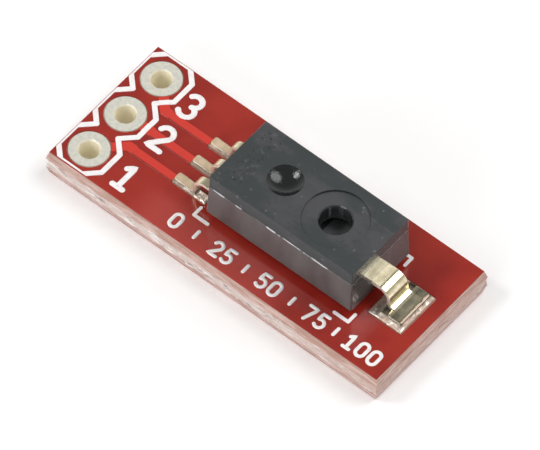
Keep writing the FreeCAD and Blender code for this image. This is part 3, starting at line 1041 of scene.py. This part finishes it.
@dataclass
class BrokenLaminate:
    """The laminate, whose snapped edges are ragged between the scored slopes."""

    node: str = "printed_board_core"
    edge_x: float = 9.3
    edge_y: float = 3.6
    web: Span = (0.5, 1.1)
    rim: float = 0.04
    cell: float = 0.13
    layer: float = 0.06
    depth: float = 0.11
    slope_depth: float = 0.02
    usual_bite: float = 0.45
    smooth_below: float = 20.0

    def build(self, material: Material) -> None:
        """Cut the outer walls finely and break them inwards.

        Args:
            material: The laminate's finish.
        """
        work = Workpiece(self.node)
        walls = [face for face in work.bm.faces if self._outer(face)]
        corners = [vert.co for face in walls for vert in face.verts]
        low, high = min(c.z for c in corners), max(c.z for c in corners)
        walls = work.slice(walls, Axis.Z, spaced(low, high, self.layer))
        for axis in (Axis.X, Axis.Y):
            reach = max(c[axis.value] for c in corners)
            walls = work.slice(walls, axis, spaced(-reach, reach, self.cell))
        moved = {vert: self._inwards(vert.co, low, high)
                 for face in walls for vert in face.verts}
        for vert, shift in moved.items():
            vert.co += shift
        work.finish("laminate_with_snapped_edges", material, "laminate", (self.node,),
                    self.smooth_below)

    def _outer(self, face: Face) -> bool:
        """Whether a face belongs to the outline's walls."""
        x, y, _ = face.calc_center_median()
        return abs(face.normal.z) < ALIGNED \
            and (abs(x) > self.edge_x or abs(y) > self.edge_y)

    def _inwards(self, place: Vector, low: float, high: float) -> Vector:
        """How far a point of the wall is broken away.

        Args:
            place: The point.
            low: The lower rim's height.
            high: The upper rim's height.

        Returns:
            The way that it moves.
        """
        if min(place.z - low, high - place.z) < PLAY:
            return Vector((0.0, 0.0, 0.0))
        from_rim = min(place.z - self.web[0], self.web[1] - place.z)
        inside = min(1.0, max(0.0, from_rim / self.rim))
        coarse = noise.fractal(Vector((place.x, place.y, 5.0 * place.z)), 0.8, 2.0, 4)
        fine = noise.noise(Vector((6.0 * place.x, 6.0 * place.y, 22.0 * place.z)))
        bite = min(1.0, max(0.0, self.usual_bite + 0.55 * coarse + 0.3 * fine))
        depth = inside * self.depth * bite + (1 - inside) * self.slope_depth * abs(fine)
        along_x = -math.copysign(depth, place.x) if abs(place.x) > self.edge_x else 0.0
        along_y = -math.copysign(depth, place.y) if abs(place.y) > self.edge_y else 0.0
        return Vector((along_x, along_y, 0.0))


@dataclass
class PrintedBoard:
    """The laminate, its coatings, foil, plated holes and printed marks."""

    laminate: BrokenLaminate = field(default_factory=BrokenLaminate)

    def build(self) -> None:
        """Dress and build every piece of the board."""
        mask = Lacquer().make("red_lacquer")
        ink = PrintedInk().make("white_ink")
        plating = Plating().make("tinned_plating")
        foil = PlainSkin((0.80, 0.42, 0.28), 1.0, 0.3).make("copper_foil")
        glass = GlassLaminate().make("glass_laminate")
        dress(mask, "solder_mask_top", "solder_mask_bottom")
        dress(ink, "printed_header_outline", "printed_corner_marks")
        dress(glass, self.laminate.node)
        dress(plating, *("plated_hole_" + net for net in NETS))
        dress(foil, "copper_pad_wide", *("copper_track_" + net for net in NETS))
        self.laminate.build(glass)
        PrintedMarks(Relief()).build(ink)


@dataclass
class SolderJoint:
    """Solder that lies on a pad and climbs a little up the foot's sides."""

    net: str
    pad: Rect
    foot: Rect
    floor: float = 1.6
    foot_underside: float = 1.63
    foot_gap: float = 0.005
    film: float = 0.05
    rim: float = 0.006
    least: float = 0.008
    rise: float = 0.15
    reach: float = 0.2
    edge: float = 0.03125
    lumps: float = 0.04
    flux_and_shade_reach: float = 0.07
    cell: float = 0.03
    smooth_below: float = 60.0

    def build(self, material: Material) -> None:
        """Lay a fine sheet on the pad and shape it.

        Args:
            material: The solder's finish.
        """
        x0, x1, y0, y1 = self.pad
        work = Workpiece()
        flux_and_shade = work.bm.verts.layers.float.new(FLUX_AND_SHADE)
        place = Matrix.Translation(((x0 + x1) / 2, (y0 + y1) / 2, 0.0)) \
            @ Matrix.Diagonal(((x1 - x0) / 2, (y1 - y0) / 2, 1.0, 1.0))
        bmesh.ops.create_grid(
            work.bm, x_segments=math.ceil((x1 - x0) / self.cell),
            y_segments=math.ceil((y1 - y0) / self.cell), size=1.0, matrix=place)
        raised = bmesh.ops.extrude_face_region(work.bm, geom=list(work.bm.faces))
        top = [item for item in raised["geom"] if isinstance(item, bmesh.types.BMVert)]
        for vert in work.bm.verts:
            vert.co.z = self.floor
        for vert in top:
            x, y, _ = vert.co
            vert.co.z += self._height(x, y)
            # Painted shade, with flux: the share is highest next to the foot.
            vert[flux_and_shade] = math.exp(-((self._away(x, y) / self.flux_and_shade_reach) ** 2))
        bmesh.ops.recalc_face_normals(work.bm, faces=work.bm.faces)
        work.finish("solder_joint_" + self.net, material, "solder",
                    ("solder_" + self.net,), self.smooth_below)

    def _height(self, x: float, y: float) -> float:
        """How thick the solder is at a place.

        Args:
            x: The place along the board.
            y: The place across the board.

        Returns:
            The thickness.
        """
        x0, x1, y0, y1 = self.pad
        inset = min(x - x0, x1 - x, y - y0, y1 - y)
        shoulder = 1.0 - math.exp(-max(0.0, inset) / self.edge)
        away = self._away(x, y)
        lump = self.lumps * noise.fractal(Vector((3.0 * x, 3.0 * y, 0.3)), 0.9, 2.0, 3)
        if away == 0.0:
            return self.foot_underside - self.floor - self.foot_gap
        climb = self.rise * math.exp(-2.0 * away / self.reach)
        return max(self.least, shoulder * (self.film + climb + lump) + self.rim)

    def _away(self, x: float, y: float) -> float:
        """How far a place is from the foot."""
        x0, x1, y0, y1 = self.foot
        return math.hypot(max(x0 - x, 0.0, x - x1), max(y0 - y, 0.0, y - y1))


@dataclass
class FormedLead:
    """A bent lead, level where it leaves the body, with rounded edges.

    The fillet is where the inside of the heel is filled: the places along the board
    where it starts and ends, and those of its two sides across the board.
    """

    net: str
    level_to: float
    fillet: Rect | None = None
    middle: float = BODY_MIDDLE[0]
    level_from: float = 4.15
    level_top: float = 2.856
    level_parts: Span = (2.45, 2.69)
    metal: float = 0.2
    foot_below: float = 2.4
    hold: float = 0.05
    rounding: float = 0.03
    foot_top: float = 1.83
    foot_play: float = 0.1
    foot_dip: float = 0.015
    slope: float = 0.42
    slope_from: float = 0.1
    slope_step: float = 0.033
    margin: float = 0.03
    smooth_below: float = 35.0

    def build(self, material: Material) -> None:
        """Level the exit, round the edges, mark the sheared sides and fill the heel.

        Args:
            material: The lead's finish.
        """
        work = Workpiece("lead_" + self.net)
        sheared = work.bm.verts.layers.float.new(SHEARED)
        lowest, between_faces = self.level_parts
        for vert in work.bm.verts:
            away = abs(vert.co.x - self.middle)
            if self.level_from < away < self.level_to and vert.co.z > lowest:
                top = vert.co.z > between_faces
                vert.co.z = self.level_top if top else self.level_top - self.metal
        sides = sorted({round(vert.co.y, 3) for vert in work.bm.verts
                        if vert.co.z < self.foot_below})
        loops = [side + self.hold * sign for side in sides for sign in (-1, 1)]
        work.slice(list(work.bm.faces), Axis.Y, loops)
        work.soften(self.rounding, 2)
        for face in work.bm.faces:
            if abs(face.normal.y) > ALIGNED:
                for vert in face.verts:
                    vert[sheared] = 1.0
        if self.fillet:
            self._fill_heel(work, *self.fillet)
        work.finish("formed_lead_" + self.net, material, "lead_metal",
                    ("lead_" + self.net,), self.smooth_below)

    def _foot_faces(self, work: Workpiece) -> list[Face]:
        """The faces that make up the top of the foot."""
        return [face for face in work.bm.faces if face.normal.z > ALIGNED
                and face.calc_center_median().z < self.foot_top + self.foot_play]

    def _fill_heel(self, work: Workpiece, start: float, end: float, low: float,
                   high: float) -> None:
        """Fill the inside of the heel bend with an even slope.

        Args:
            work: The lead's mesh.
            start: Where the slope starts along the board.
            end: Where it meets the foot.
            low: Its first side across the board.
            high: Its second side.
        """
        across = [*spaced(start + self.slope_from, end, self.slope_step),
                  end + self.margin]
        work.slice(self._foot_faces(work), Axis.X, across)
        along = [low - self.margin, low, high, high + self.margin]
        work.slice(self._foot_faces(work), Axis.Y, along)
        for vert in work.bm.verts:
            x, y, z = vert.co
            inside = start < x < end and low - PLAY < y < high + PLAY
            if inside and z > self.foot_top - self.foot_dip:
                vert.co.z = max(z, self.foot_top + self.slope * (end - x))


@dataclass
class SeamBead:
    """Flash along the closed seam, which shows in some stretches of one long side."""

    middle: Point = BODY_MIDDLE
    half: Point = (4.145, 2.01)
    level: float = 3.995
    thin: float = 0.003
    thick: float = 0.042
    stretches: tuple[Span, ...] = ((-1.66, -0.89), (-0.2, 0.52), (1.58, 5.09))
    step: float = 0.06

    def build(self, material: Material) -> None:
        """Lay the bead round the seam.

        Args:
            material: Its finish.
        """
        (x, y), (along, across) = self.middle, self.half
        corners = [Vector((x + a * along, y + b * across, self.level))
                   for a, b in ((-1, -1), (1, -1), (1, 1), (-1, 1))]
        points: list[Vector] = []
        for start, end in zip(corners, corners[1:] + corners[:1]):
            count = math.ceil((end - start).length / self.step)
            points += [start.lerp(end, i / count) for i in range(count)]
        work = Workpiece()
        work.sweep(points, [self._radius(place) for place in points], True)
        work.finish("seam_flash_painted_sheen", material, "moulding")

    def _radius(self, place: Vector) -> float:
        """How thick the bead is.

        Args:
            place: A point of the seam.

        Returns:
            The bead's radius there.
        """
        front = place.y < self.middle[1] - 0.99 * self.half[1]
        if not (front and any(low < place.x < high for low, high in self.stretches)):
            return self.thin
        return self.thick * (0.8 + 0.5 * noise.noise(Vector((3.0 * place.x, 0.4, 0.2))))


@dataclass
class SensorPackage:
    """The moulded sensor with its lead frame, chip and solder joints."""

    joints: tuple[SolderJoint, ...] = (
        *(SolderJoint(net, (-4.255, -2.345, y - 0.235, y + 0.235),
                      (-4.23, -3.0, y - 0.135, y + 0.305))
          for net, y in zip(NETS, (-1.27, 0.0, 1.27))),
        SolderJoint("wide", (6.95, 8.81, -1.24, 1.24), (7.46, 8.59, -0.965, 1.135)))
    narrow: LeadMetal = LeadMetal(roughness=0.28)
    # Painted reflection: the wide lead's foot takes a dark olive copy of the foot metal
    # for the dim sky that its flat top mirrors.
    wide: LeadMetal = LeadMetal(
        foot=(0.23, 0.205, 0.14), foot_dull=(0.16, 0.15, 0.105), foot_from=5.68,
        foot_metallic=1.0, toe=8.64)
    leads: tuple[FormedLead, ...] = (
        *(FormedLead(net, 4.82) for net in NETS),
        FormedLead("wide", 4.64, (7.66, 7.855, -0.565, 0.735)))

    def build(self) -> None:
        """Dress and build every piece of the sensor."""
        dress(CoverMoulding().make("matte_cover_moulding"), "sensor_cover")
        dress(BaseMoulding().make("smooth_base_moulding"), "sensor_base")
        SeamBead().build(SeamFlash().make("seam_flash_painted_sheen"))
        narrow = self.narrow.make("tinned_narrow_lead")
        wide = self.wide.make("tinned_wide_lead")
        solder = SolderSkin().make("bright_solder")
        for joint, lead in zip(self.joints, self.leads):
            metal = wide if lead.net == "wide" else narrow
            dress(metal, "lead_" + lead.net)
            dress(solder, "solder_" + joint.net)
            lead.build(metal)
            joint.build(solder)
        for node, name, skin in (
                ("cover_seal", "dark_seal", PlainSkin((0.03, 0.03, 0.03), 0.0, 0.5)),
                ("die_adhesive", "die_adhesive", PlainSkin((0.4, 0.4, 0.38), 0.2)),
                ("sensing_die", "polished_silicon",
                 PlainSkin((0.12, 0.13, 0.14), 0.5, 0.12)),
                ("sensing_film", "sensing_polymer",
                 PlainSkin((0.7, 0.78, 0.76), 0.7, 0.03)),
                ("bond_wires", "gold_wire", PlainSkin((0.9, 0.7, 0.3), 1.0, 0.2))):
            dress(skin.make(name), node)


# Studio


@dataclass(frozen=True)
class Lamp:
    """One soft box, aimed at the board."""

    name: str
    azimuth: float
    elevation: float
    power: float
    size: float
    distance: float = 250.0

    def hang(self) -> None:
        """Add the lamp to the scene."""
        a, e = math.radians(self.azimuth), math.radians(self.elevation)
        away = Vector((math.cos(a) * math.cos(e), math.sin(a) * math.cos(e),
                       math.sin(e)))
        light = bpy.data.lights.new(self.name, "AREA")
        light.shape = "DISK"
        light.size = self.size * MM
        light.energy = self.power
        holder = bpy.data.objects.new(self.name, light)
        holder.location = away * self.distance * MM
        holder.rotation_euler = away.to_track_quat("Z", "Y").to_euler()
        bpy.context.scene.collection.objects.link(holder)


@dataclass
class Studio:
    """The floor, the light and the camera."""

    floor_size: float = 900.0
    floor_gap: float = 0.02
    floor_colour: Colour = (0.91, 0.905, 0.90)
    floor_lift: float = 0.14
    lamps: tuple[Lamp, ...] = (
        Lamp("soft_box_right", 55.0, 54.0, 0.30, 175.0),
        Lamp("soft_box_left", -143.0, 50.0, 0.20, 90.0),
        Lamp("soft_box_front", -90.0, 22.0, 0.19, 160.0),
    )
    horizon: float = 1.0
    overhead: float = 0.22
    overhead_from: float = 0.75
    target: Triple = (0.614, -0.466, 1.6)
    azimuth: float = 38.219
    elevation: float = 55.566
    roll: float = 1.734
    distance: float = 450.0
    lens: float = 668.54

    def build(self) -> None:
        """Set up the whole studio."""
        self._floor()
        self._world()
        for lamp in self.lamps:
            lamp.hang()
        self._camera()
        bpy.context.scene.view_settings.view_transform = "Standard"

    def _floor(self) -> None:
        """A white table top that keeps the board's soft shadow."""
        bm = bmesh.new()
        bmesh.ops.create_grid(
            bm, x_segments=1, y_segments=1, size=self.floor_size / 2 * MM,
            matrix=Matrix.Translation((0.0, 0.0, -self.floor_gap * MM)))
        mesh = bpy.data.meshes.new("table_top")
        bm.to_mesh(mesh)
        bm.free()
        recipe = Recipe("white_table", Roughness=0.9, Specular_IOR_Level=0.0)
        camera, glossy, through = (
            recipe.node("ShaderNodeLightPath", output=f"Is {kind} Ray")
            for kind in ("Camera", "Glossy", "Transmission"))
        mesh.materials.append(recipe.finish(
            Base_Color=self.floor_colour, Emission_Color=WHITE,
            Emission_Strength=(camera + glossy + through) * self.floor_lift))
        floor = bpy.data.objects.new("table_top", mesh)
        bpy.context.scene.collection.objects.link(floor)

    def _world(self) -> None:
        """A room that is white up to the horizon and dimmer overhead."""
        world = bpy.data.worlds.new("studio")
        bpy.context.scene.world = world
        world.use_nodes = True
        nodes = Nodes(world.node_tree)
        place = nodes.node("ShaderNodeTexCoord", output="Generated")
        height = nodes.node("ShaderNodeSeparateXYZ", {}, {"Vector": place}, "Z")
        strength = nodes.node(
            "ShaderNodeMapRange", {"interpolation_type": "SMOOTHSTEP"},
            {"Value": height, "From Max": self.overhead_from, "To Min": self.horizon,
             "To Max": self.overhead})
        back = world.node_tree.nodes["Background"]
        nodes.feed(back.inputs["Strength"], strength)
        nodes.feed(back.inputs["Color"], WHITE)

    def _camera(self) -> None:
        """The camera, at the photograph's angle."""
        a, e, r = (math.radians(v) for v in (self.azimuth, self.elevation, self.roll))
        back = Vector((math.sin(a) * math.cos(e), -math.cos(a) * math.cos(e),
                       math.sin(e)))
        right = Vector((math.cos(a), math.sin(a), 0.0))
        up = back.cross(right)
        turned = right * math.cos(r) + up * math.sin(r)
        upright = up * math.cos(r) - right * math.sin(r)
        camera = bpy.data.cameras.new("camera")
        camera.sensor_width = 36.0
        camera.sensor_fit = "HORIZONTAL"
        camera.lens = self.lens
        camera.clip_start = 0.05
        camera.clip_end = 5.0
        holder = bpy.data.objects.new("camera", camera)
        place = Vector(self.target) * MM + back * self.distance * MM
        turn = Matrix((turned, upright, back)).transposed().to_4x4()
        holder.matrix_world = Matrix.Translation(place) @ turn
        bpy.context.scene.collection.objects.link(holder)
        bpy.context.scene.camera = holder


def main() -> None:
    """Build the board, the sensor and the studio, and log each piece's face count."""
    logging.basicConfig(level=logging.INFO, format="%(name)s: %(message)s")
    PrintedBoard().build()
    SensorPackage().build()
    Studio().build()


if __name__ == "__main__":
    main()
